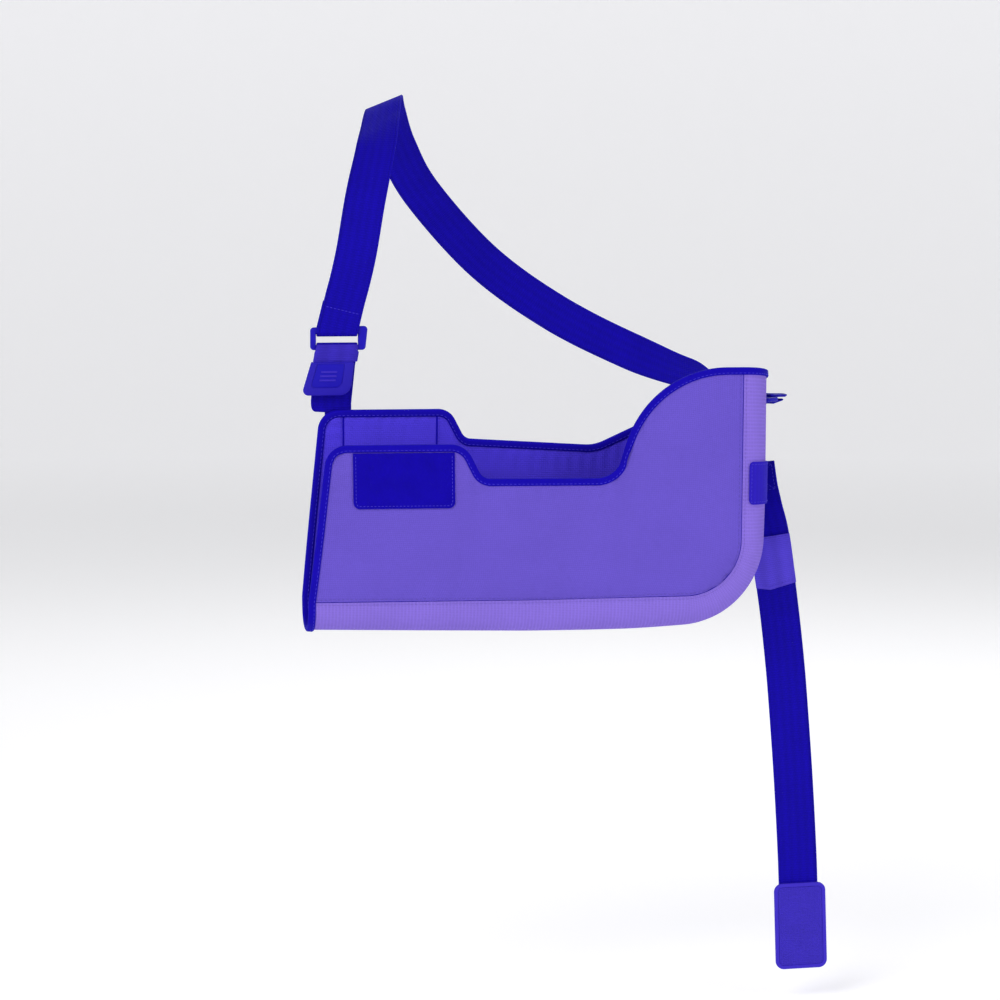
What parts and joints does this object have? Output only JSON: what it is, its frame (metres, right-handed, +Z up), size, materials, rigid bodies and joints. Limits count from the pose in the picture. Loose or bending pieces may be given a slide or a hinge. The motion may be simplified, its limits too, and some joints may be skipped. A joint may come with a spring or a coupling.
{
  "type": "shoulder brace",
  "caption": "Arm sling pouch with a bound edge, hung from a shoulder strap by a slot buckle, with a loose waist strap at the elbow.",
  "frame": {"origin": "the underside of the shoulder strap where it lies on top of the shoulder", "axes": "+Z up as worn, +X along the forearm from the hand to the elbow, -Y out of the front panel, away from the wearer"},
  "size_m": [0.5051, 0.2945, 0.8355],
  "materials": {
    "front_cloth": "padded woven cloth, matt",
    "back_cloth": "padded woven cloth, matt",
    "gusset_cloth": "spacer mesh, matt",
    "binding_tape": "ribbed woven tape",
    "loop_pile": "short loop pile",
    "webbing": "flat woven webbing",
    "buckle_plastic": "satin moulded plastic",
    "tab_plastic": "satin moulded plastic",
    "keeper_cloth": "woven patch, stitched round",
    "sleeve_cloth": "elastic band, fine rib"
  },
  "bodies": {
    "root": {"front_panel": "front_cloth", "back_panel": "back_cloth", "gusset": "gusset_cloth", "edge_binding": "binding_tape", "grip_patch": "loop_pile", "hanger_strap": "webbing", "shoulder_strap": "webbing", "waist_strap": "webbing", "ring_loop": "webbing", "strap_buckle": "buckle_plastic", "elbow_ring": "buckle_plastic", "hook_tab": "tab_plastic", "waist_end_tab": "tab_plastic", "strap_keeper": "keeper_cloth", "strap_sleeve": "sleeve_cloth"}
  },
  "joints": []
}
